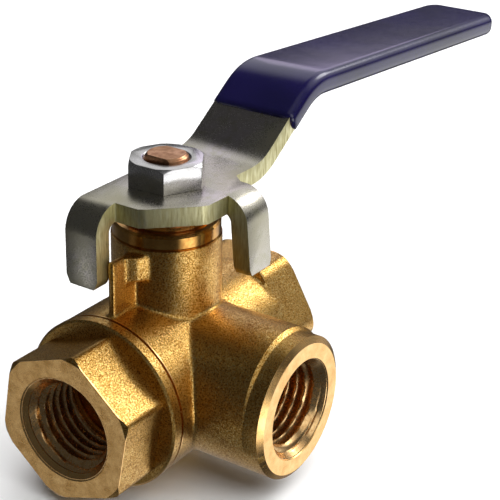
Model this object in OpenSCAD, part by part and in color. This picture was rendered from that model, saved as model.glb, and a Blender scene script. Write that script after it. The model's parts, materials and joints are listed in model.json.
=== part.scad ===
// Three way brass ball valve, quarter inch pipe thread, L-port, lever with a dipped grip.
// Frame: origin on the common port's axis where its thread starts, X along the run, Z up the stem.

/* [Body] */
// Radius of the body's round flange where the end cap seats
flange_r = 12.4; // [11:0.05:14]
// Radius of the run's round barrel beyond the ball
barrel_r = 10.6; // [9.5:0.05:11.5]
// Distance from the stem axis to the end cap seam
seam_x = 13.05; // [12:0.05:14]
// Distance from the stem axis to the face of the far run port
run_reach = 23.05; // [21:0.05:25]
// Distance from the stem axis to the face of the common branch port
branch_reach = 22.95; // [21:0.05:25]
// Where the far port's hexagon starts, from the stem axis
far_hex_x = 15.5; // [14:0.05:18]
// Far port hexagon, across flats
far_hex_af = 20.1; // [18:0.05:22]
// Radius of the branch's round boss
boss_r = 10.5; // [9.5:0.05:11.5]
// Height of the boss centre above the run axis
boss_rise = 0.4; // [0:0.05:1]
// Radius of the turned collar at the branch's end
collar_r = 10.3; // [9:0.05:10.5]
// Distance from the stem axis to the start of the branch collar
collar_y = 19.3; // [17:0.05:21]

/* [Neck] */
// Radius of the neck
neck_r = 7.7; // [6.5:0.05:9]
// Height of the blasted part of the neck above the run axis
neck_z = 21.1; // [18:0.05:24]
// Height of the neck's turned top above the run axis
neck_top_z = 23.15; // [20:0.05:26]
// Distance from the stem axis to the stop lug's outer end
lug_reach = 12.6; // [11.5:0.05:14]
// Height of the stop lug's top above the run axis
lug_top_z = 20.5; // [18:0.05:22]

/* [Ports] */
// Radius of the pipe thread's wall in the three ports
thread_r = 6.8; // [6:0.05:8]
// Length of the pipe thread's wall
thread_len = 9.6; // [7:0.1:12]
// Radius of the countersunk mouth of the end cap port
cap_mouth_r = 7.5; // [7:0.05:8.5]
// Radius of the countersunk mouths of the body's two ports
body_mouth_r = 7.2; // [6.9:0.05:8.5]
// Radius of the flow passage through the seats and the ball
flow_r = 4.0; // [3:0.05:5]

/* [End cap] */
// End cap hexagon, across flats
cap_hex_af = 19.8; // [18:0.05:22]
// Turn of the cap's hexagon about the run axis, in degrees
cap_hex_turn = 20.5; // [0:0.5:60]
// Radius of the cap's round collar
cap_collar_r = 12.5; // [11:0.05:14]
// Distance from the stem axis to the front of the cap's collar
cap_collar_x = 15.2; // [14:0.05:17]

/* [Ball and seats] */
// Radius of the ball
ball_r = 7.5; // [6:0.05:9]
// Outer radius of the seat rings
seat_r = 6.15; // [5.5:0.05:7]
// Distance from the stem axis to the back of a seat ring
seat_back_x = 8.2; // [7.5:0.05:9]
// Width of the drive slot in the top of the ball
slot_w = 3.0; // [2:0.05:4]

/* [Stem] */
// Radius of the stem's shaft
stem_r = 4.0; // [3:0.05:5]
// Radius of the stem's threaded top
stem_thread_r = 3.0; // [2:0.05:4]
// Radius of the blow-out-proof shoulder
shoulder_r = 5.2; // [4.5:0.05:6]
// Height of the stem's top above the run axis
stem_top_z = 32.4; // [30:0.05:35]
// Distance between the two drive flats that carry the handle
drive_flat_w = 4.4; // [4:0.05:7]

/* [Packing] */
// Radius of the packing chamber
packing_r = 5.9; // [5:0.05:6.5]
// Height of the packing chamber's floor above the run axis
packing_z = 14.8; // [13:0.05:16]
// Radius of the gland nut's thread
gland_r = 6.2; // [5.5:0.05:6.8]

/* [Handle] */
// Thickness of the lever's sheet steel
sheet_t = 2.7; // [2:0.05:4]
// Height of the lever plate's top above the run axis
plate_z = 28.3; // [26:0.05:31]
// Width of the lever's blade
blade_w = 13.2; // [10:0.1:18]
// Slope of the lever's rising blade, in degrees
blade_rise = 33.8; // [15:0.1:60]
// Slope of the grip below the plate's plane, in degrees
grip_fall = 3.7; // [0:0.1:10]
// Distance from the stem axis to the end of the grip
lever_reach = 93.4; // [70:0.1:130]
// Distance from the stem axis to the outside of the end cap side's leg
cap_leg_reach = 14.6; // [13:0.05:17]
// Distance from the stem axis to the outside of the branch side's leg
branch_leg_reach = 13.0; // [12:0.05:16]
// Width of each leg
leg_w = 5.25; // [4:0.05:8]
// Height of the legs' lower ends above the run axis
leg_foot_z = 16.9; // [15:0.05:20]
// Spread of the branch side's leg away from upright, in degrees
leg_splay = 5.5; // [0:0.1:10]
// Thickness of the dipped vinyl on the lever
coat_t = 0.5; // [0.3:0.05:2]
// Where the dipped grip starts, from the stem axis
grip_x = 21.0; // [18:0.1:30]

/* [Nut] */
// Handle nut, across flats
nut_af = 10.0; // [8:0.05:13]
// Height of the handle nut
nut_h = 3.55; // [3:0.05:6]
// Turn of the handle nut about the stem, in degrees
nut_turn = 32.3; // [0:0.5:60]

/* [Hidden] */
$fn = 96;
// Countersink depth, which sets where each thread starts
sink_d = 0.8;
origin_y = branch_reach - sink_d;
// Running clearance between the turning pieces and what holds them
run_gap = 0.05;
// End cap thread and the bore it screws into
cap_thread_r = 10.0;
cap_bore_x = 6.6;
cavity_r = 8.0;
cavity_x = 4.6;
// Gap between the ball and its seats
seat_gap = 0.12;
gasket_t = 0.8;
// Stem stack, from the ball upwards
tang_z = 5.5;
shoulder_z = 8.3;
shoulder_h = 1.6;
washer_h = 0.9;
stem_bore_z = shoulder_z + shoulder_h + washer_h;
oring_r = 0.5;
oring_mid_r = 3.5;
ring_h = 0.7;
follower_z = packing_z + 3.8;
follower_h = 1.2;
gland_z = follower_z + follower_h;
gland_h = 3.9;
// Lever side profile: bend radii on the top side and where each bend lies
low_bend_r = 8.0;
high_bend_r = 11.5;
low_bend_x = 11.5;
leg_bend_in = 1.3;
leg_bend_out = leg_bend_in + sheet_t;
low_end_x = low_bend_x + low_bend_r * sin(blade_rise);
low_end_z = plate_z + low_bend_r * (1 - cos(blade_rise));
blade_len = 10.0;
high_start_x = low_end_x + blade_len * cos(blade_rise);
high_start_z = low_end_z + blade_len * sin(blade_rise);
high_mid_x = high_start_x + high_bend_r * sin(blade_rise);
high_mid_z = high_start_z - high_bend_r * cos(blade_rise);
high_turn = blade_rise + grip_fall;
// Where each stop leg's edge stands off the stem's middle plane, and its foot's corner radius
leg_edge = 0.62;
leg_lap = 0.5;
foot_r = 1.3;
// Blade length covered by the grip before the upper bend
grip_cover = (high_start_x - grip_x) / cos(blade_rise);
tip_r = 3.6;
grip_len = (lever_reach - high_mid_x - (high_bend_r - 1) * sin(grip_fall)) / cos(grip_fall);

module framed() {
    translate([0, origin_y, 0]) children();
}

module along_x(x0, x1, r0, r1) {
    translate([x0, 0, 0]) rotate([0, 90, 0]) cylinder(h = x1 - x0, r1 = r0, r2 = r1);
}

module along_branch(y0, y1, r0, r1) {
    translate([0, -y0, 0]) rotate([90, 0, 0]) cylinder(h = y1 - y0, r1 = r0, r2 = r1);
}

module ring(r_out, r_in, z0, z1) {
    difference() {
        translate([0, 0, z0]) cylinder(h = z1 - z0, r = r_out);
        translate([0, 0, z0 - 1]) cylinder(h = z1 - z0 + 2, r = r_in);
    }
}

module hex_bar(x0, x1, af, turn) {
    translate([x0, 0, 0])
        rotate([turn, 0, 0])
            rotate([0, 90, 0])
                cylinder(h = x1 - x0, r = af / sqrt(3), $fn = 6);
}

// ---- Body: one brass forging with the run barrel, the branch and the neck ----

module run_barrel() {
    along_x(-seam_x, 2, flange_r, flange_r);
    along_x(2, 6.5, flange_r, barrel_r);
    along_x(6.5, far_hex_x + 0.5, barrel_r, barrel_r);
    intersection() {
        hex_bar(far_hex_x, run_reach, far_hex_af, 0);
        along_x(far_hex_x - 1, run_reach, 13.6, far_hex_af / 2 + 0.9);
        along_x(far_hex_x, run_reach + 8, far_hex_af / 2 + 0.6, 14.5);
    }
}

module branch_boss() {
    translate([0, 0, boss_rise]) along_branch(0, collar_y, boss_r, boss_r);
    translate([0, 0, boss_rise]) along_branch(collar_y, collar_y + 1.1, boss_r, collar_r - boss_rise);
    along_branch(0, branch_reach - 0.55, collar_r, collar_r);
    along_branch(branch_reach - 0.55, branch_reach, collar_r, collar_r - 0.75);
}

module stop_lug() {
    translate([-lug_reach, -0.6, 0]) cube([lug_reach - 5, 1.1, lug_top_z]);
    translate([0, 0, 17.1])
        linear_extrude(height = lug_top_z - 17.3)
            polygon([[-10.2, -0.6], [-5, -3.4], [-5, 2.6], [-8.6, 0.5], [-10.2, 0.5]]);
}

module body_outside() {
    run_barrel();
    branch_boss();
    cylinder(h = neck_z, r = neck_r);
    cylinder(h = neck_top_z - 0.3, r = neck_r - 0.1);
    translate([0, 0, neck_top_z - 0.3]) cylinder(h = 0.3, r1 = neck_r - 0.1, r2 = neck_r - 0.4);
    stop_lug();
}

module body_hollow() {
    along_x(-seam_x - 1, -cap_bore_x, cap_thread_r, cap_thread_r);
    along_x(-cap_bore_x - 1, cavity_x, cavity_r, cavity_r);
    along_x(0, seat_back_x, seat_r + run_gap, seat_r + run_gap);
    along_x(0, run_reach, flow_r + 0.3, flow_r + 0.3);
    along_x(run_reach - sink_d - thread_len, run_reach, thread_r, thread_r);
    along_x(run_reach - sink_d, run_reach, thread_r, body_mouth_r);
    along_branch(0, branch_reach, flow_r + 0.3, flow_r + 0.3);
    along_branch(branch_reach - sink_d - thread_len, branch_reach, thread_r, thread_r);
    along_branch(branch_reach - sink_d, branch_reach, thread_r, body_mouth_r);
    translate([0, 0, 2]) cylinder(h = stem_bore_z - 2, r = shoulder_r + 0.1);
    cylinder(h = neck_top_z, r = stem_r + run_gap);
    translate([0, 0, packing_z]) cylinder(h = neck_top_z, r = packing_r);
    translate([0, 0, follower_z]) cylinder(h = neck_top_z, r = gland_r);
    translate([0, 0, neck_top_z - 0.5]) cylinder(h = 0.5, r1 = gland_r, r2 = gland_r + 0.5);
}

module body() {
    color("#c8963c") framed() difference() {
        body_outside();
        body_hollow();
    }
}

// ---- End cap: hexagon, round collar and the threaded spigot that holds a seat ----

module end_cap() {
    color("#c8963c") framed() difference() {
        union() {
            intersection() {
                hex_bar(-run_reach, -cap_collar_x + 0.5, cap_hex_af, -cap_hex_turn);
                along_x(-run_reach, -cap_collar_x + 1, cap_hex_af / 2 + 1.0, 13.8);
            }
            along_x(-cap_collar_x, -cap_collar_x + 0.4, cap_collar_r - 0.4, cap_collar_r);
            along_x(-cap_collar_x + 0.4, -seam_x - 0.1, cap_collar_r, cap_collar_r);
            along_x(-seam_x - 0.1, -seam_x, cap_collar_r - 0.5, cap_collar_r - 0.5);
            along_x(-seam_x - 0.2, -cap_bore_x - gasket_t, cap_thread_r - run_gap, cap_thread_r - run_gap);
            along_x(-seam_x - 0.2, -cavity_x - 0.2, cavity_r - run_gap, cavity_r - run_gap);
        }
        along_x(-run_reach, -cavity_x, flow_r + 0.3, flow_r + 0.3);
        along_x(-seat_back_x, -cavity_x, seat_r + run_gap, seat_r + run_gap);
        along_x(-run_reach, -run_reach + sink_d + thread_len, thread_r, thread_r);
        along_x(-run_reach, -run_reach + sink_d, cap_mouth_r, thread_r);
    }
}

module cap_gasket() {
    color("#efece2") framed() difference() {
        along_x(-cap_bore_x - gasket_t, -cap_bore_x, cap_thread_r - 0.1, cap_thread_r - 0.1);
        along_x(-cap_bore_x - gasket_t - 1, -cap_bore_x + 1, cavity_r, cavity_r);
    }
}

// ---- Ball and its two seats ----

module seat_ring() {
    difference() {
        along_x(cavity_x + 0.1, seat_back_x, seat_r, seat_r);
        along_x(0, seat_back_x + 1, flow_r + 0.2, flow_r + 0.2);
        sphere(r = ball_r + seat_gap);
    }
}

module seat_cap_side() {
    color("#f2efe6") framed() rotate([0, 0, 180]) seat_ring();
}

module seat_body_side() {
    color("#f2efe6") framed() seat_ring();
}

module ball() {
    color("#d9dade") framed() difference() {
        sphere(r = ball_r);
        sphere(r = flow_r);
        along_x(0, ball_r + 1, flow_r, flow_r);
        along_branch(0, ball_r + 1, flow_r, flow_r);
        translate([-ball_r - 1, -slot_w / 2, 5.3]) cube([2 * ball_r + 2, slot_w, 4]);
    }
}

// ---- Stem with its seals ----

module oring_groove(z) {
    translate([0, 0, z]) rotate_extrude() translate([oring_mid_r - 0.55, -0.65]) square([2, 1.3]);
}

module stem_point() {
    translate([0, 0, stem_top_z - 0.35]) cylinder(h = 0.35, r1 = stem_thread_r, r2 = stem_thread_r - 0.35);
}

module stem() {
    color("#c98f4e") framed() difference() {
        union() {
            intersection() {
                translate([0, 0, tang_z]) cylinder(h = shoulder_z - tang_z + 0.5, r = stem_r);
                translate([-stem_r, -slot_w / 2 + 0.08, tang_z]) cube([2 * stem_r, slot_w - 0.16, 4]);
            }
            translate([0, 0, shoulder_z]) cylinder(h = shoulder_h, r = shoulder_r);
            cylinder_between(shoulder_z, plate_z - sheet_t - 0.05, stem_r);
            intersection() {
                cylinder_between(shoulder_z + 2, plate_z - 0.25, stem_r);
                translate([-drive_flat_w / 2, -stem_r, shoulder_z]) cube([drive_flat_w, 2 * stem_r, 30]);
            }
            intersection() {
                union() {
                    cylinder_between(plate_z - 1, stem_top_z - 0.35, stem_thread_r);
                    stem_point();
                }
                translate([-drive_flat_w / 2, -stem_r, shoulder_z]) cube([drive_flat_w, 2 * stem_r, 30]);
            }
        }
        oring_groove(11.9);
        oring_groove(13.7);
    }
}

module cylinder_between(z0, z1, r) {
    translate([0, 0, z0]) cylinder(h = z1 - z0, r = r);
}

module oring(z) {
    translate([0, 0, z]) rotate_extrude() translate([oring_mid_r, 0]) circle(r = oring_r, $fn = 48);
}

module stem_oring_lower() {
    color("#222224") framed() oring(11.9);
}

module stem_oring_upper() {
    color("#222224") framed() oring(13.7);
}

module thrust_washer() {
    color("#f2efe6") framed()
        ring(shoulder_r, stem_r + run_gap, shoulder_z + shoulder_h + 0.03, stem_bore_z);
}

// ---- Chevron packing, follower and gland nut ----

module chevron(z0, low, high) {
    r_in = stem_r + run_gap;
    r_mid = (r_in + packing_r) / 2;
    translate([0, 0, z0])
        rotate_extrude()
            polygon([
                [r_in, 0], [r_mid, low], [packing_r, 0],
                [packing_r, ring_h], [r_mid, ring_h + high], [r_in, ring_h]
            ]);
}

module packing_base() {
    r_in = stem_r + run_gap;
    r_mid = (r_in + packing_r) / 2;
    color("#e9e5d6") framed() rotate_extrude()
        polygon([
            [r_in, packing_z], [packing_r, packing_z], [packing_r, packing_z + 0.6],
            [r_mid, packing_z + 0.95], [r_in, packing_z + 0.6]
        ]);
}

module packing_ring_lower() {
    color("#f2efe6") framed() chevron(packing_z + 0.6, 0.35, 0.35);
}

module packing_ring_middle() {
    color("#f2efe6") framed() chevron(packing_z + 0.6 + ring_h, 0.35, 0.35);
}

module packing_ring_upper() {
    color("#f2efe6") framed() chevron(packing_z + 0.6 + 2 * ring_h, 0.35, 0.35);
}

module packing_head() {
    r_in = stem_r + run_gap;
    r_mid = (r_in + packing_r) / 2;
    z0 = packing_z + 0.6 + 3 * ring_h;
    color("#e9e5d6") framed() rotate_extrude()
        polygon([
            [r_in, z0], [r_mid, z0 + 0.35], [packing_r, z0],
            [packing_r, follower_z], [r_in, follower_z]
        ]);
}

module gland_follower() {
    color("#c8963c") framed() ring(packing_r + 0.2, stem_r + run_gap, follower_z, follower_z + follower_h);
}

module gland_nut() {
    color("#c8963c") framed() difference() {
        union() {
            cylinder_between(gland_z, gland_z + gland_h - 0.3, gland_r - 0.02);
            translate([0, 0, gland_z + gland_h - 0.3])
                cylinder(h = 0.3, r1 = gland_r - 0.02, r2 = gland_r - 0.3);
        }
        cylinder_between(gland_z - 1, gland_z + gland_h + 1, stem_r + run_gap);
        translate([-8, -0.9, gland_z + gland_h - 1.3]) cube([16, 1.8, 2]);
    }
}

// ---- Lever: bent steel sheet with two stop legs, and its dipped grip ----

function arc(mid, r, from, to, n) = [
    for (i = [0:n]) let (a = from + (to - from) * i / n) [mid[0] + r * cos(a), mid[1] + r * sin(a)]
];

// Side profile from a point run back along the rising part to the end, grown by c all round
function rising(run, c) = [
    high_start_x - run * cos(blade_rise) - c * sin(blade_rise),
    high_start_z - run * sin(blade_rise) + c * cos(blade_rise)
];

function end_point(x_end, r) = [
    high_mid_x + x_end * cos(grip_fall) + r * sin(grip_fall),
    high_mid_z - x_end * sin(grip_fall) + r * cos(grip_fall)
];

module side_slab(points, w) {
    translate([0, w / 2, 0]) rotate([90, 0, 0]) linear_extrude(height = w) polygon(points);
}

// Plan outline's free end, with rounded corners
function round_end(half, x_end, r) = concat(
    arc([x_end - r, r - half], r, 270, 360, 8),
    arc([x_end - r, half - r], r, 0, 90, 8)
);

// Plate, rising blade and grip core, cut by the plan outline out of the bent strip
module lever_blade() {
    low_mid = [low_bend_x, plate_z + low_bend_r];
    high_mid = [high_mid_x, high_mid_z];
    half = blade_w / 2;
    cap_x = cap_leg_reach - leg_bend_out;
    branch_y = branch_leg_reach - leg_bend_out;
    intersection() {
        side_slab(concat(
            [[-20, plate_z]],
            arc(low_mid, low_bend_r, 270, 270 + blade_rise, 12),
            arc(high_mid, high_bend_r, 90 + blade_rise, 90 - grip_fall, 14),
            [end_point(grip_len + 5, high_bend_r), end_point(grip_len + 5, high_bend_r - sheet_t)],
            arc(high_mid, high_bend_r - sheet_t, 90 - grip_fall, 90 + blade_rise, 14),
            arc(low_mid, low_bend_r + sheet_t, 270 + blade_rise, 270, 12),
            [[-20, plate_z - sheet_t]]
        ), 60);
        linear_extrude(height = 60)
            polygon(concat(
                [
                    [-cap_x, leg_edge + leg_w], [-cap_x, leg_edge], [-10.5, leg_edge - 0.1], [-10.5, -3.1],
                    [-9.9, -4.0], [-4.7, -9.1], [-3.8, -9.7], [leg_edge - 0.1, -9.8],
                    [leg_edge, -branch_y], [leg_edge + leg_w, -branch_y], [leg_edge + leg_w, -8.3],
                    [7.3, -half]
                ],
                round_end(half, lever_reach - coat_t, tip_r - coat_t),
                [[6.5, half], [3.5, leg_edge + leg_w]]
            ));
    }
}

// The coat's outer skin, grown from the blade by the coat's thickness
module grip_coat() {
    high_mid = [high_mid_x, high_mid_z];
    r_out = high_bend_r + coat_t;
    r_in = high_bend_r - sheet_t - coat_t;
    half = blade_w / 2 + coat_t;
    intersection() {
        side_slab(concat(
            [rising(grip_cover, coat_t)],
            arc(high_mid, r_out, 90 + blade_rise, 90 - grip_fall, 14),
            [end_point(grip_len + 5, r_out), end_point(grip_len + 5, r_in)],
            arc(high_mid, r_in, 90 - grip_fall, 90 + blade_rise, 14),
            [rising(grip_cover, -sheet_t - coat_t)]
        ), 60);
        linear_extrude(height = 60)
            polygon(concat([[0, half], [0, -half]], round_end(half, lever_reach, tip_r)));
    }
}

// A leg bent down from the plate, drawn as if it went out along +X, with its edge on the X axis.
// Its tail laps into the plate by leg_lap.
module bent_leg(reach, splay) {
    mid = [reach - leg_bend_out, plate_z - leg_bend_out];
    drop = (mid[1] - leg_foot_z) / cos(splay);
    intersection() {
        side_slab(concat(
            [[mid[0] - leg_lap, plate_z - leg_lap], [mid[0], plate_z]],
            arc(mid, leg_bend_out, 84, splay, 14),
            [leg_foot(mid, leg_bend_out, drop, splay), leg_foot(mid, leg_bend_in, drop, splay)],
            arc(mid, leg_bend_in, splay, 84, 14),
            [[mid[0], plate_z - sheet_t], [mid[0] - leg_lap, plate_z - sheet_t + leg_lap]]
        ), 60);
        rotate([90, 0, 90])
            linear_extrude(height = 60)
                polygon([
                    [0, 60], [0, leg_foot_z + foot_r], [0.3 * foot_r, leg_foot_z + 0.3 * foot_r],
                    [foot_r, leg_foot_z - 1], [leg_w - foot_r, leg_foot_z - 1],
                    [leg_w - 0.3 * foot_r, leg_foot_z + 0.3 * foot_r],
                    [leg_w, leg_foot_z + foot_r], [leg_w, 60]
                ]);
    }
}

function leg_foot(mid, r, drop, splay) = [
    mid[0] + r * cos(splay) + drop * sin(splay),
    mid[1] + r * sin(splay) - drop * cos(splay)
];

module lever_metal() {
    lever_blade();
    translate([0, leg_edge + leg_w, 0]) rotate([0, 0, 180]) bent_leg(cap_leg_reach, 0);
    translate([leg_edge, 0, 0]) rotate([0, 0, -90]) bent_leg(branch_leg_reach, leg_splay);
}

module handle() {
    color("#9c9990") framed() difference() {
        lever_metal();
        intersection() {
            cylinder_between(plate_z - sheet_t - 1, plate_z + 1, stem_r + 0.02);
            translate([-drive_flat_w / 2 - 0.02, -6, 0]) cube([drive_flat_w + 0.04, 12, 40]);
        }
    }
}

module grip() {
    color("#1d1b45") framed() difference() {
        grip_coat();
        lever_blade();
    }
}

module handle_nut() {
    color("#b9b8bb") framed() difference() {
        intersection() {
            translate([0, 0, plate_z])
                rotate([0, 0, nut_turn])
                    cylinder(h = nut_h, r = nut_af / sqrt(3), $fn = 6);
            translate([0, 0, plate_z]) cylinder(h = nut_h, r1 = nut_af / 2 + 5.0, r2 = nut_af / 2 + 0.15);
        }
        cylinder_between(plate_z - 1, plate_z + nut_h + 1, stem_thread_r + 0.02);
        translate([0, 0, plate_z + nut_h - 0.35])
            cylinder(h = 0.35, r1 = stem_thread_r, r2 = stem_thread_r + 0.4);
    }
}

body();
end_cap();
cap_gasket();
seat_cap_side();
seat_body_side();
ball();
stem();
thrust_washer();
stem_oring_lower();
stem_oring_upper();
packing_base();
packing_ring_lower();
packing_ring_middle();
packing_ring_upper();
packing_head();
gland_follower();
gland_nut();
handle();
grip();
handle_nut();
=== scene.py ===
import json
import math

import bmesh
import bpy
from mathutils import Matrix, Vector


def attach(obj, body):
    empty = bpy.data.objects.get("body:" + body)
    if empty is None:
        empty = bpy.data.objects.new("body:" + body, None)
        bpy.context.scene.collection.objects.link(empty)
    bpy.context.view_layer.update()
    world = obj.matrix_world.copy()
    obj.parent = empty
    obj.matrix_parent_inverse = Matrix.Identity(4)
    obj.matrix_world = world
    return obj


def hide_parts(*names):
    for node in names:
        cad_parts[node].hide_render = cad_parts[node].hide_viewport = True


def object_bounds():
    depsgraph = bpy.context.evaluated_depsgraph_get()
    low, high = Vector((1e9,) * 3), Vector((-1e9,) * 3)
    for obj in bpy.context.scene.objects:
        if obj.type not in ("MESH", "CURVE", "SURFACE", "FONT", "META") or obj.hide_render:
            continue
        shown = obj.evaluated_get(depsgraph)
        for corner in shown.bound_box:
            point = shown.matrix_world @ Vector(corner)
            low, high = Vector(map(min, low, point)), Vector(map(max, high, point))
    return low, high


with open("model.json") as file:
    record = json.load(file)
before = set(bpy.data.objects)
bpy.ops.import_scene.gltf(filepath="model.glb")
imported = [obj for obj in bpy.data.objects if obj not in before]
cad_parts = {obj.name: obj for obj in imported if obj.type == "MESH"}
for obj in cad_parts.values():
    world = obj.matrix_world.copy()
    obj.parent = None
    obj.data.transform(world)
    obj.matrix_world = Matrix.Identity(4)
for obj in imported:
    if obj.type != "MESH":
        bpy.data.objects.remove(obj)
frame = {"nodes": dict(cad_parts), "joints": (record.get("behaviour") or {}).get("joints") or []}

MM = 0.001
CAD_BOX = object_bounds()
BALL = Vector(frame["joints"][0]["pos_m"])  # the ball's centre, where the run, branch and stem axes meet
FLOOR_GAP = 0.0001  # keeps the floor from touching the lowest face
FLOOR_Z = CAD_BOX[0].z - FLOOR_GAP

# Pipe thread, in millimetres
PITCH = 1.411
THREAD_R = 6.76
THREAD_DEPTH = 1.12
THREAD_LENGTH = 10.3
ROWS_PER_TURN = 14

# Forgings are welded at this grain, in millimetres
VOXEL = 0.25

# Lever's bent end, in millimetres and degrees
BLADE_RISE = 33.8
GRIP_FALL = -3.7
UPPER_BEND = (30.655, 25.657)  # its centre, along the run and up
UPPER_BEND_R = 11.5 - 1.35  # to the middle of the sheet
LEVER_REACH = 93.4


# ---------------------------------------------------------------- mesh helpers
# Shapes are drawn in millimetres from the ball's centre, then moved into the frame in metres.

def place(bm):
    bm.transform(Matrix.Translation(BALL) @ Matrix.Scale(MM, 4))


def to_object(name, bm, smooth_angle=35):
    mesh = bpy.data.meshes.new(name)
    bm.to_mesh(mesh)
    bm.free()
    mesh.shade_smooth()
    mesh.set_sharp_from_angle(angle=math.radians(smooth_angle))
    obj = bpy.data.objects.new(name, mesh)
    bpy.context.scene.collection.objects.link(obj)
    return obj


def axis_point(axis, u, r, a):
    c, s = r * math.cos(a), r * math.sin(a)
    if axis == "X":
        return (u, c, s)
    if axis == "-Y":
        return (c, -u, s)
    return (c, s, u)


def lathe(bm, profile, axis, segments=128, rise=0.0):
    """Revolves (distance along the axis, radius) points into a closed shell."""
    rings = []
    for u, r in profile:
        if r < 1e-6:
            x, y, z = axis_point(axis, u, 0, 0)
            rings.append([bm.verts.new((x, y, z + rise))])
            continue
        ring = []
        for i in range(segments):
            x, y, z = axis_point(axis, u, r, math.tau * i / segments)
            ring.append(bm.verts.new((x, y, z + rise)))
        rings.append(ring)
    faces = []
    for a, b in zip(rings, rings[1:]):
        for i in range(segments):
            j = (i + 1) % segments
            quad = [a[i % len(a)], a[j % len(a)], b[j % len(b)], b[i % len(b)]]
            quad = list(dict.fromkeys(quad))  # a ring on the axis is one point
            if len(quad) > 2:
                faces.append(bm.faces.new(quad))
    bmesh.ops.recalc_face_normals(bm, faces=faces)


def prism(bm, points, axis, low, high):
    """A polygon in the plane across the axis, drawn from low to high along it."""
    def at(p, u):
        return (u, p[0], p[1]) if axis == "X" else (p[0], p[1], u)
    a = [bm.verts.new(at(p, low)) for p in points]
    b = [bm.verts.new(at(p, high)) for p in points]
    faces = [bm.faces.new(a), bm.faces.new(b)]
    for i in range(len(points)):
        j = (i + 1) % len(points)
        faces.append(bm.faces.new([a[i], a[j], b[j], b[i]]))
    bmesh.ops.recalc_face_normals(bm, faces=faces)


def hexagon(across_flats, first_corner, corner_r):
    """A hexagon's outline with each corner rounded to corner_r."""
    reach = (across_flats / 2 - corner_r) / math.cos(math.radians(30))
    points = []
    for k in range(6):
        middle = math.radians(first_corner + 60 * k)
        for step in range(7):
            a = middle + math.radians(-30 + 10 * step)
            points.append((reach * math.cos(middle) + corner_r * math.cos(a),
                           reach * math.sin(middle) + corner_r * math.sin(a)))
    return points


def baked(obj):
    """The object's mesh with its modifiers applied; the object keeps the result."""
    graph = bpy.context.evaluated_depsgraph_get()
    mesh = bpy.data.meshes.new_from_object(obj.evaluated_get(graph))
    obj.modifiers.clear()
    obj.data = mesh
    return obj


def forged(name, bm, voxel, rounds):
    """Welds overlapping shells into one skin and rounds its edges and inner corners."""
    place(bm)
    obj = to_object(name, bm)
    remesh = obj.modifiers.new("weld", "REMESH")
    remesh.mode = "VOXEL"
    remesh.voxel_size = voxel * MM
    smooth = obj.modifiers.new("round", "SMOOTH")
    smooth.factor = 0.5
    smooth.iterations = rounds
    return baked(obj)


def machine(obj, operation, *cutters):
    """Joins turned tools to the object, or cuts them out of it, and removes them."""
    for cutter in cutters:
        cut = obj.modifiers.new("cut", "BOOLEAN")
        cut.operation = operation
        cut.solver = "MANIFOLD"
        cut.object = cutter
    baked(obj)
    for cutter in cutters:
        bpy.data.objects.remove(cutter)


def tool(profile, axis):
    bm = bmesh.new()
    lathe(bm, profile, axis, 160)
    place(bm)
    return to_object("tool", bm)


def finish_skin(obj, materials, pick, angle=22):
    """Gives each face the material that pick names for its centre (millimetres from the ball) and normal."""
    obj.data.materials.clear()
    for m in materials:
        obj.data.materials.append(m)
    for face in obj.data.polygons:
        face.material_index = pick((Vector(face.center) - BALL) / MM, face.normal)
    obj.data.shade_smooth()
    obj.data.set_sharp_from_angle(angle=math.radians(angle))


# ---------------------------------------------------------------- material helpers

RINGS_PER_UNIT = 0.314  # the wave texture's scale that gives one ring a metre


def rgba(r, g, b):
    return (r, g, b, 1.0)


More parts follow.
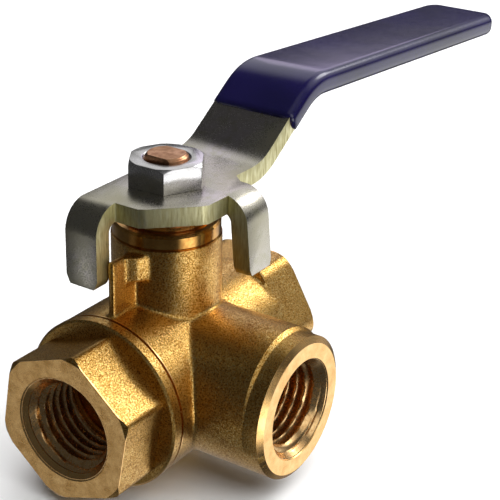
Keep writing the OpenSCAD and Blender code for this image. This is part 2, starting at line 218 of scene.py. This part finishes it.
class Nodes:
    def __init__(self, name):
        self.mat = bpy.data.materials.new(name)
        self.mat.use_nodes = True
        self.tree = self.mat.node_tree
        self.shader = self.tree.nodes["Principled BSDF"]
        self.place = self.add("ShaderNodeTexCoord").outputs["Object"]

    def add(self, kind, **settings):
        node = self.tree.nodes.new(kind)
        for key, value in settings.items():
            setattr(node, key, value)
        return node

    def put(self, socket, value):
        if isinstance(value, bpy.types.NodeSocket):
            self.tree.links.new(value, socket)
        else:
            socket.default_value = value

    def noise(self, size_mm, detail=3.0, rough=0.6, stretch=(1, 1, 1)):
        vector = self.place
        if stretch != (1, 1, 1):
            mapping = self.add("ShaderNodeMapping")
            mapping.inputs["Scale"].default_value = stretch
            self.put(mapping.inputs["Vector"], vector)
            vector = mapping.outputs["Vector"]
        n = self.add("ShaderNodeTexNoise")
        self.put(n.inputs["Vector"], vector)
        n.inputs["Scale"].default_value = 1.0 / (size_mm * MM)
        n.inputs["Detail"].default_value = detail
        n.inputs["Roughness"].default_value = rough
        return n.outputs["Fac"]

    def ramp(self, value, *stops):
        r = self.add("ShaderNodeValToRGB")
        self.put(r.inputs["Fac"], value)
        while len(r.color_ramp.elements) < len(stops):
            r.color_ramp.elements.new(0.5)
        for element, (at, colour) in zip(r.color_ramp.elements, stops):
            element.position = at
            element.color = rgba(*colour)
        return r.outputs["Color"]

    def span(self, value, low, high, to_low, to_high):
        m = self.add("ShaderNodeMapRange")
        for key, v in zip(("Value", "From Min", "From Max", "To Min", "To Max"),
                          (value, low, high, to_low, to_high)):
            self.put(m.inputs[key], v)
        return m.outputs["Result"]

    def maths(self, operation, a, b):
        m = self.add("ShaderNodeMath", operation=operation)
        self.put(m.inputs[0], a)
        self.put(m.inputs[1], b)
        return m.outputs[0]

    def mix(self, factor, a, b, mode="MIX"):
        m = self.add("ShaderNodeMix", data_type="RGBA", blend_type=mode)
        self.put(m.inputs["Factor"], factor)
        self.put(m.inputs["A"], a)
        self.put(m.inputs["B"], b)
        return m.outputs["Result"]

    def bump(self, height, depth_mm, strength=1.0, under=None):
        b = self.add("ShaderNodeBump")
        b.inputs["Strength"].default_value = strength
        b.inputs["Distance"].default_value = depth_mm * MM
        self.put(b.inputs["Height"], height)
        if under is not None:
            self.put(b.inputs["Normal"], under)
        return b.outputs["Normal"]

    def rings(self, axis, spacing_mm, wobble):
        w = self.add("ShaderNodeTexWave", wave_type="RINGS", rings_direction=axis)
        mapping = self.add("ShaderNodeMapping")
        mapping.inputs["Location"].default_value = -BALL
        self.put(mapping.inputs["Vector"], self.place)
        self.put(w.inputs["Vector"], mapping.outputs["Vector"])
        w.inputs["Scale"].default_value = RINGS_PER_UNIT / (spacing_mm * MM)
        w.inputs["Distortion"].default_value = wobble
        w.inputs["Detail"].default_value = 2.0
        return w.outputs["Fac"]

    def done(self, colour, rough, normal=None, metal=1.0):
        self.put(self.shader.inputs["Base Color"], colour)
        self.put(self.shader.inputs["Roughness"], rough)
        self.shader.inputs["Metallic"].default_value = metal
        if normal is not None:
            self.put(self.shader.inputs["Normal"], normal)
        return self.mat


def blasted_brass():
    n = Nodes("brass_blasted")
    grain = n.noise(0.20, 2.5, 0.75)
    patch = n.noise(3.2, 3.0, 0.6)
    dark, middle, bright = (0.30, 0.12, 0.018), (0.76, 0.41, 0.08), (1.0, 0.74, 0.30)
    speck = n.ramp(grain, (0.38, dark), (0.49, middle), (0.62, bright))
    tone = n.ramp(patch, (0.35, (0.86, 0.82, 0.78)), (0.65, (1.0, 1.0, 1.0)))
    colour = n.mix(1.0, speck, tone, "MULTIPLY")
    rough = n.span(grain, 0.35, 0.65, 0.42, 0.25)
    relief = n.bump(grain, 0.06, 0.75)
    relief = n.bump(patch, 0.08, 0.3, relief)
    return n.done(colour, rough, relief)


def turned_brass(axis):
    n = Nodes("brass_turned_" + axis.lower())
    marks = n.rings(axis, 0.16, 1.2)
    haze = n.noise(1.6, 4.0, 0.65)
    colour = n.ramp(haze, (0.30, (0.84, 0.47, 0.15)), (0.70, (0.98, 0.63, 0.26)))
    rough = n.span(haze, 0.3, 0.7, 0.30, 0.17)
    return n.done(colour, rough, n.bump(marks, 0.008, 0.6))


# Turned brass for the neck's top band and bore, made darker than the turned brass as painted shade under the
# lever plate.
def shaded_band_brass():
    n = Nodes("brass_band_painted_shade")
    marks = n.rings("Z", 0.16, 1.2)
    haze = n.noise(1.6, 4.0, 0.65)
    colour = n.ramp(haze, (0.30, (0.42, 0.20, 0.05)), (0.70, (0.72, 0.40, 0.11)))
    rough = n.span(haze, 0.3, 0.7, 0.24, 0.14)
    return n.done(colour, rough, n.bump(marks, 0.006, 0.5))


def thread_brass():
    n = Nodes("brass_thread")
    haze = n.noise(0.7, 4.0, 0.65)
    colour = n.ramp(haze, (0.30, (0.72, 0.40, 0.15)), (0.70, (0.95, 0.66, 0.32)))
    rough = n.span(haze, 0.3, 0.7, 0.34, 0.18)
    return n.done(colour, rough, n.bump(haze, 0.008, 0.4))


def plated_steel():
    n = Nodes("steel_plated")
    cloud = n.noise(9.0, 3.0, 0.55)
    fine = n.noise(0.22, 4.0, 0.7)
    scratch = n.noise(0.35, 3.0, 0.6, (0.06, 1.0, 1.0))
    patch = n.noise(2.2, 4.0, 0.65)
    yellow, grey, lilac = (0.52, 0.49, 0.36), (0.58, 0.55, 0.48), (0.62, 0.57, 0.60)
    colour = n.ramp(cloud, (0.30, yellow), (0.50, grey), (0.70, lilac))
    colour = n.mix(n.span(patch, 0.52, 0.66, 0.0, 0.45), colour, rgba(0.42, 0.41, 0.26))
    colour = n.mix(n.span(fine, 0.4, 0.7, 0.0, 0.35), colour, rgba(0.30, 0.27, 0.18))
    rough = n.span(n.maths("ADD", cloud, fine), 0.8, 1.2, 0.36, 0.20)
    return n.done(colour, rough, n.bump(scratch, 0.02, 0.35, n.bump(fine, 0.02, 0.5)))


def sheared_edge():
    n = Nodes("steel_sheared_edge")
    tears = n.noise(0.34, 3.0, 0.6, (1.0, 1.0, 0.16))
    fine = n.noise(0.18, 3.0, 0.7)
    olive, straw, cream = (0.60, 0.54, 0.26), (0.84, 0.80, 0.48), (0.93, 0.90, 0.66)
    colour = n.ramp(tears, (0.30, olive), (0.60, straw), (0.75, cream))
    rough = n.span(tears, 0.3, 0.7, 0.58, 0.38)
    return n.done(colour, rough, n.bump(tears, 0.035, 0.5, n.bump(fine, 0.015, 0.4)))


def nut_steel():
    n = Nodes("steel_nut")
    fine = n.noise(0.20, 4.0, 0.7)
    cloud = n.noise(3.0, 3.0, 0.6)
    colour = n.ramp(cloud, (0.3, (0.56, 0.55, 0.53)), (0.7, (0.72, 0.71, 0.72)))
    rough = n.span(fine, 0.3, 0.7, 0.30, 0.18)
    return n.done(colour, rough, n.bump(fine, 0.02, 0.5))


def copper_stem():
    n = Nodes("stem_end")
    marks = n.rings("Z", 0.22, 2.5)
    haze = n.noise(0.9, 3.0, 0.6)
    colour = n.ramp(haze, (0.3, (0.45, 0.20, 0.10)), (0.7, (0.78, 0.44, 0.24)))
    rough = n.span(haze, 0.3, 0.7, 0.42, 0.26)
    return n.done(colour, rough, n.bump(marks, 0.02, 0.6))


def vinyl():
    n = Nodes("vinyl_navy")
    cloud = n.noise(14.0, 2.0, 0.5)
    fine = n.noise(0.8, 3.0, 0.6)
    colour = n.ramp(cloud, (0.3, (0.004, 0.003, 0.030)), (0.7, (0.008, 0.005, 0.055)))
    rough = n.span(fine, 0.3, 0.7, 0.22, 0.15)
    mat = n.done(colour, rough, n.bump(cloud, 0.25, 0.4, n.bump(fine, 0.015, 0.35)), 0.0)
    n.shader.inputs["Coat Weight"].default_value = 0.2
    n.shader.inputs["Coat Roughness"].default_value = 0.06
    return mat


def plain(name, low, high, rough, metal, grain_mm=0.5):
    n = Nodes(name)
    haze = n.noise(grain_mm, 3.0, 0.6)
    colour = n.ramp(haze, (0.3, low), (0.7, high))
    gloss = n.span(haze, 0.3, 0.7, rough + 0.06, rough - 0.04)
    return n.done(colour, gloss, n.bump(haze, 0.01, 0.4), metal)


BLASTED = blasted_brass()
TURNED = {axis: turned_brass(axis) for axis in "XYZ"}
# The neck band's darker brass: painted shade under the lever plate.
SHADED_BAND = shaded_band_brass()
THREAD = thread_brass()


# ---------------------------------------------------------------- body and cap
# Profiles are (distance along the axis, radius) in millimetres.

def near_axis(p, axis):
    """A point's distance from an axis through the ball's centre."""
    a, b = {"X": (p.y, p.z), "-Y": (p.x, p.z), "Z": (p.x, p.y)}[axis]
    return math.hypot(a, b)


def build_body():
    bm = bmesh.new()
    barrel = [(-14, 0), (-14, 12.45), (-4.5, 12.45), (0.5, 12.3), (4.5, 10.75), (7, 10.3), (16.4, 10.3),
              (16.4, 0)]
    lathe(bm, barrel, "X")
    prism(bm, hexagon(20.3, 0, 2.4), "X", 15.6, 24)
    lathe(bm, [(0, 0), (0, 10.55), (24, 10.55), (24, 0)], "-Y", rise=0.4)
    lathe(bm, [(0, 0), (0, 7.8), (24, 7.8), (24, 0)], "Z")
    stop_fin = [(-12.6, -0.54), (-5, -0.54), (-5, 0.54), (-12.6, 0.54)]
    stop_block = [(-10.1, -0.6), (-9.0, -1.8), (-5, -3.9), (-5, 2.9), (-8.9, 0.55), (-10.1, 0.5)]
    prism(bm, stop_fin, "Z", 3, 20.5)
    prism(bm, stop_block, "Z", 16.7, 20.45)
    body = forged("body_forging", bm, VOXEL, 11)
    run = [(-30, 0), (-30, 20), (-13.05, 20), (-13.05, 10), (-6.6, 10), (-6.6, 8), (4.6, 8), (4.6, 6.2),
           (8.2, 6.2), (8.2, 4.3), (12.65, 4.3), (12.65, 6.8), (22.25, 6.8), (23.05, 7.5), (23.05, 10.7),
           (22.3, 12.0), (22.3, 20), (30, 20), (30, 0)]
    branch = [(0, 0), (0, 4.3), (12.55, 4.3), (12.55, 6.8), (22.15, 6.8), (22.95, 7.35), (22.95, 9.5),
              (22.4, 10.43), (20.45, 10.43), (20.2, 10.5), (19.5, 11.05), (19.3, 11.5), (19.3, 20),
              (30, 20), (30, 0)]
    neck = [(3, 0), (3, 5.3), (10.8, 5.3), (10.8, 4.05), (14.8, 4.05), (14.8, 5.9), (18.6, 5.9), (18.6, 6.2),
            (22.65, 6.2), (23.15, 6.6), (23.15, 7.3), (22.8, 7.62), (21.3, 7.62), (21.12, 7.45), (20.95, 7.9),
            (20.95, 20), (40, 20), (40, 0)]
    machine(body, "DIFFERENCE", tool(run, "X"), tool(branch, "-Y"), tool(neck, "Z"))

    blasted, turned_run, turned_branch, shaded_band = range(4)

    def pick(p, normal):
        # The neck's top band and bore take the darker brass, painted shade under the lever plate.
        if p.z > 20.94 or (p.z > 8 and near_axis(p, "Z") < 6.8):
            return shaded_band
        if p.y < -22.6 or (p.y < -7 and near_axis(p, "-Y") < 7.6):
            return turned_branch
        if p.x > 22.9 or (p.x > 4.5 and near_axis(p, "X") < 7.6):
            return turned_run
        if p.x < -12.9 or (p.x < -6 and near_axis(p, "X") < 10.2):
            return turned_run
        return blasted

    finish_skin(body, [BLASTED, TURNED["X"], TURNED["Y"], SHADED_BAND], pick)
    return body


def build_cap():
    bm = bmesh.new()
    prism(bm, hexagon(20.0, 39.5, 0.9), "X", -24, -13.6)
    cap = forged("end_cap_forging", bm, VOXEL, 14)
    collar = [(-15.25, 0), (-15.25, 11.6), (-15.2, 12.2), (-14.9, 12.5), (-13.5, 12.5), (-13.4, 12.4),
              (-13.35, 11.8), (-13.1, 11.8), (-13.1, 9.95), (-7.4, 9.95), (-7.4, 7.95),
              (-4.8, 7.95), (-4.8, 0)]
    machine(cap, "UNION", tool(collar, "X"))
    bore = [(-30, 0), (-30, 20), (-22.3, 20), (-22.3, 12.0), (-23.05, 10.7), (-23.05, 7.6), (-22.25, 6.8),
            (-12.65, 6.8), (-12.65, 4.3), (-8.2, 4.3), (-8.2, 6.2), (-4, 6.2), (-4, 0)]
    machine(cap, "DIFFERENCE", tool(bore, "X"))

    blasted, turned = range(2)

    def pick(p, normal):
        return turned if p.x < -22.9 or near_axis(p, "X") < 7.7 or p.x > -13.3 else blasted

    finish_skin(cap, [BLASTED, TURNED["X"]], pick)
    return cap


def thread(name, axis, mouth, sign, mouth_r):
    """A pipe thread's ridges as a sleeve in the port's plain wall. mouth is the port's face."""
    bm = bmesh.new()
    around, step, first_depth = 120, PITCH / ROWS_PER_TURN, 0.15
    flat, taper, run_out = 0.08, 0.02, 2.0
    cone_slope, cone_limit = 0.85, THREAD_R + 0.6
    rows = int(THREAD_LENGTH / step)

    def point(depth, r, k):
        return bm.verts.new(axis_point(axis, sign * (mouth - depth), r, sign * math.tau * k / around))

    rings = []
    for i in range(rows + 1):
        depth = first_depth + i * step
        cone = mouth_r - cone_slope * depth
        ring = []
        for k in range(around):
            turn = depth / PITCH + k / around
            wave = abs((turn % 1.0) * 2 - 1)
            ridge = min(max((wave - flat) / (1 - 2 * flat), 0.0), 1.0)
            fade = min(1.0, (THREAD_LENGTH - depth) / run_out)
            r = THREAD_R - THREAD_DEPTH * ridge * max(fade, 0.0) - depth * taper
            r = max(min(r, THREAD_R), min(cone, cone_limit))
            ring.append(point(depth, r, k))
        rings.append(ring)
    # The sleeve's outside, from the far end back to the mouth
    for row, outer in ((rows, THREAD_R + 0.03), (0, mouth_r + 0.02)):
        rings.append([point(first_depth + row * step, outer, k) for k in range(around)])
    faces = []
    for a, b in zip(rings, rings[1:] + rings[:1]):
        for k in range(around):
            j = (k + 1) % around
            faces.append(bm.faces.new([a[k], a[j], b[j], b[k]]))
    bmesh.ops.recalc_face_normals(bm, faces=faces)
    place(bm)
    obj = to_object(name, bm, 60)
    obj.data.materials.append(THREAD)
    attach(obj, "valve_body")


# ---------------------------------------------------------------- lever

def rounded_copy(name, node, radius_mm, segments, materials, pick, angle):
    """A copy of a CAD node with its sharp edges rolled over."""
    bm = bmesh.new()
    bm.from_mesh(frame["nodes"][node].data)
    bmesh.ops.remove_doubles(bm, verts=bm.verts, dist=2e-6)
    bmesh.ops.dissolve_limit(bm, angle_limit=math.radians(0.6), verts=bm.verts, edges=bm.edges)
    sharp = [e for e in bm.edges if len(e.link_faces) == 2 and e.calc_face_angle(0) > math.radians(angle)]
    bmesh.ops.bevel(bm, geom=sharp, offset=radius_mm * MM, offset_type="OFFSET", segments=segments,
                    profile=0.5, affect="EDGES", clamp_overlap=True)
    obj = to_object(name, bm, 32)
    finish_skin(obj, materials, pick, 32)
    return obj


def build_handle():
    broad, edge = range(2)

    def pick(p, normal):
        # The plate, blade and legs have broad faces; everything between them is sheared edge
        if p.x < -11.6:  # the leg on the cap's side
            return edge if abs(normal.y) > 0.6 or normal.z < -0.6 else broad
        if p.y < -10.2:  # the leg on the branch's side
            return edge if abs(normal.x) > 0.6 or normal.z < -0.6 else broad
        return broad if abs(normal.z) > 0.55 else edge
    return rounded_copy("lever_sheet", "handle", 0.28, 3, [plated_steel(), sheared_edge()], pick, 40)


def build_nut():
    return rounded_copy("lever_nut", "handle_nut", 0.12, 2, [nut_steel()], lambda p, n: 0, 14)


def grip_path():
    """Points and slopes along the middle of the lever's end, from the grip's start to its tip."""
    rise, fall = math.radians(BLADE_RISE), math.radians(GRIP_FALL)
    mid_x, mid_z = UPPER_BEND
    r = UPPER_BEND_R
    below_bend, steps_below, steps_bend, steps_above = 4.3, 8, 18, 60
    points = []
    for i in range(steps_below):
        s = below_bend * (1 - i / steps_below)
        points.append((mid_x - r * math.sin(rise) - s * math.cos(rise),
                       mid_z + r * math.cos(rise) - s * math.sin(rise), rise))
    for i in range(steps_bend + 1):
        a = rise + (fall - rise) * i / steps_bend
        points.append((mid_x - r * math.sin(a), mid_z + r * math.cos(a), a))
    x0, z0, _ = points[-1]
    length = (LEVER_REACH - x0) / math.cos(fall)
    for i in range(1, steps_above + 1):
        s = length * i / steps_above
        points.append((x0 + s * math.cos(fall), z0 + s * math.sin(fall), fall))
    return points


def rounded_section(half_w, half_t, corner):
    """A rectangle's outline with rounded corners."""
    steps = 8
    points = []
    for cx, cz, a0 in ((1, 1, 0), (-1, 1, 90), (-1, -1, 180), (1, -1, 270)):
        for i in range(steps + 1):
            a = math.radians(a0 + 90 * i / steps)
            points.append((cx * (half_w - corner) + corner * math.cos(a),
                           cz * (half_t - corner) + corner * math.sin(a)))
    return points


def round_loss(part):
    """How far a quarter circle has fallen from its flat, at this share of its way; 0 at 0 and 1 at 1."""
    return 1 - math.sqrt(max(0.0, 1 - part ** 2))


def build_grip():
    bm = bmesh.new()
    half_w, half_t, corner = 7.1, 1.85, 1.45
    tip, tip_t, tip_thin = 3.5, 1.3, 1.25  # the end's rounding in plan, and where and how far it thins
    lip, lip_r = 0.5, 0.42  # the coat's rolled edge at its start
    least = 0.02
    path = grip_path()
    end_x = path[-1][0]
    dense = []  # the path with finer rows in the rounded tip
    for (x, z, a), (nx, nz, _) in zip(path, path[1:]):
        dense.append((x, z, a))
        if x > end_x - tip - 1.5:
            dense.extend((x + (nx - x) * f, z + (nz - z) * f, a) for f in (0.25, 0.5, 0.75))
    dense.append(path[-1])
    rows = []
    from_start = 0.0
    px, pz, _ = dense[0]
    for x, z, a in dense:
        from_start += math.hypot(x - px, z - pz)
        px, pz = x, z
        shrink = lip_r * round_loss(1 - min(1.0, from_start / lip))
        w, t = half_w - shrink, half_t - shrink
        left = end_x - x
        if left < tip:
            w -= tip * round_loss(1 - left / tip)
        if left < tip_t:
            t -= tip_thin * round_loss(1 - left / tip_t)
        section = rounded_section(w, t, min(corner, t - least, w - least))
        rows.append([bm.verts.new((x - v * math.sin(a), u, z + v * math.cos(a))) for u, v in section])
    faces = [bm.faces.new(rows[0]), bm.faces.new(rows[-1])]
    for p, q in zip(rows, rows[1:]):
        for k in range(len(p)):
            j = (k + 1) % len(p)
            faces.append(bm.faces.new([p[k], p[j], q[j], q[k]]))
    bmesh.ops.recalc_face_normals(bm, faces=faces)
    place(bm)
    obj = to_object("lever_grip", bm, 50)
    obj.data.materials.append(vinyl())
    return obj


# ---------------------------------------------------------------- assembly

def stand_for(obj, node, body):
    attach(obj, body)
    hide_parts(node)


stand_for(build_body(), "body", "valve_body")
stand_for(build_cap(), "end_cap", "valve_body")
thread("thread_cap", "X", 23.05, -1, 7.6)
thread("thread_far", "X", 23.05, 1, 7.5)
thread("thread_branch", "-Y", 22.95, 1, 7.35)
stand_for(build_handle(), "handle", "lever")
stand_for(build_nut(), "handle_nut", "lever")
stand_for(build_grip(), "grip", "lever")

PTFE = plain("ptfe", (0.80, 0.79, 0.74), (0.92, 0.91, 0.87), 0.45, 0.0)
RUBBER = plain("rubber", (0.012, 0.012, 0.012), (0.03, 0.03, 0.03), 0.6, 0.0)
CHROME = plain("ball_chrome", (0.78, 0.78, 0.80), (0.88, 0.88, 0.90), 0.10, 1.0, 2.0)
LOOKS = {"ball": CHROME, "stem": copper_stem(), "gland_nut": TURNED["Z"], "gland_follower": TURNED["Z"],
         "stem_oring_lower": RUBBER, "stem_oring_upper": RUBBER}
for node, obj in frame["nodes"].items():
    look = LOOKS.get(node, PTFE if node not in ("body", "end_cap", "handle", "grip", "handle_nut") else None)
    if look is not None:
        obj.data.materials.clear()
        obj.data.materials.append(look)


# ---------------------------------------------------------------- stage, light, camera

def build_floor():
    bm = bmesh.new()
    bmesh.ops.create_grid(bm, x_segments=2, y_segments=2, size=6.0)
    bm.transform(Matrix.Translation((0, 0, FLOOR_Z)))
    floor = to_object("floor", bm)
    n = Nodes("floor_paint")
    mottle = n.noise(60.0, 2.0, 0.5)
    paint = n.ramp(mottle, (0.3, (0.90, 0.90, 0.90)), (0.7, (0.93, 0.93, 0.93)))
    floor.data.materials.append(n.done(paint, 0.9, None, 0.0))
    floor.visible_glossy = False


def area(name, at_mm, aim_mm, size_mm, radiance, colour):
    light = bpy.data.lights.new(name, "AREA")
    light.shape = "RECTANGLE"
    light.size, light.size_y = size_mm[0] * MM, size_mm[1] * MM
    light.energy = radiance * math.pi * light.size * light.size_y
    light.color = colour
    obj = bpy.data.objects.new(name, light)
    bpy.context.scene.collection.objects.link(obj)
    obj.location = BALL + Vector(at_mm) * MM
    obj.visible_camera = False
    aim = BALL + Vector(aim_mm) * MM
    obj.rotation_euler = (aim - obj.location).to_track_quat("-Z", "Y").to_euler()


def sun(name, towards, angle_deg, strength, glossy=True):
    light = bpy.data.lights.new(name, "SUN")
    light.angle = math.radians(angle_deg)
    light.energy = strength
    obj = bpy.data.objects.new(name, light)
    obj.visible_glossy = glossy
    bpy.context.scene.collection.objects.link(obj)
    obj.rotation_euler = Vector(towards).to_track_quat("Z", "Y").to_euler()


def build_world():
    """A dim studio with soft white cards on its walls."""
    cards = (  # azimuth from +X, elevation, inner angle, outer angle, brightness
        (32, 34, 8, 27, 0.80),
        (338, 38, 8, 38, 1.00),
        (264, -18, 4, 22, 2.4),
        (330, -28, 6, 32, 1.25),
        (143, -29, 3, 12, 0.60),
        (250, 66, 5, 30, 0.30),
        (60, -60, 5, 45, 0.35),
    )
    world = bpy.data.worlds.new("studio")
    bpy.context.scene.world = world
    world.use_nodes = True
    tree = world.node_tree
    where = tree.nodes.new("ShaderNodeTexCoord").outputs["Generated"]
    total = None
    for azimuth, elevation, inner, outer, brightness in cards:
        a, e = math.radians(azimuth), math.radians(elevation)
        dot = tree.nodes.new("ShaderNodeVectorMath")
        dot.operation = "DOT_PRODUCT"
        tree.links.new(where, dot.inputs[0])
        dot.inputs[1].default_value = (math.cos(a) * math.cos(e), math.sin(a) * math.cos(e), math.sin(e))
        card = tree.nodes.new("ShaderNodeMapRange")
        card.interpolation_type = "SMOOTHSTEP"
        tree.links.new(dot.outputs["Value"], card.inputs["Value"])
        card.inputs["From Min"].default_value = math.cos(math.radians(outer))
        card.inputs["From Max"].default_value = math.cos(math.radians(inner))
        card.inputs["To Max"].default_value = brightness
        if total is None:
            total = card.outputs["Result"]
        else:
            add = tree.nodes.new("ShaderNodeMath")
            add.operation = "ADD"
            tree.links.new(total, add.inputs[0])
            tree.links.new(card.outputs["Result"], add.inputs[1])
            total = add.outputs[0]
    lift = tree.nodes.new("ShaderNodeMath")
    lift.operation = "ADD"
    lift.inputs[1].default_value = 0.05  # the walls between the cards
    tree.links.new(total, lift.inputs[0])
    tree.links.new(lift.outputs[0], tree.nodes["Background"].inputs["Color"])


def build_camera():
    azimuth, elevation, roll = (math.radians(v) for v in (-57.29, 24.43, 1.58))
    sensor_mm, focal_px, width_px = 36, 1371.95, 500
    back = Vector((math.sin(azimuth) * math.cos(elevation),
                   -math.cos(azimuth) * math.cos(elevation), math.sin(elevation)))
    right = (-back).cross(Vector((0, 0, 1))).normalized()
    up = right.cross(-back)
    x = right * math.cos(roll) + up * math.sin(roll)
    y = up * math.cos(roll) - right * math.sin(roll)
    cam = bpy.data.cameras.new("camera")
    cam.sensor_width = sensor_mm
    cam.lens = sensor_mm * focal_px / width_px
    cam.shift_x, cam.shift_y = -0.002, 0.0012
    cam.clip_start, cam.clip_end = 0.005, 30
    obj = bpy.data.objects.new("camera", cam)
    bpy.context.scene.collection.objects.link(obj)
    turn = Matrix((x, y, back)).transposed().to_4x4()
    obj.matrix_world = Matrix.Translation(BALL + Vector((-140.97, -104.59, 97.66)) * MM) @ turn
    bpy.context.scene.camera = obj


build_floor()
build_world()
build_camera()
sun("key", (0.25, -0.25, 0.93), 100, 3.7, glossy=False)
sun("gleam", (0.72, -0.25, 0.55), 24, 0.70)
sun("front", (-0.15, -0.90, 0.45), 40, 0.40)
area("grip_card", (190, 70, 100), (75, 0, 36), (80, 50), 0.8, (0.82, 0.66, 1.0))
bpy.context.scene.view_settings.view_transform = "Standard"
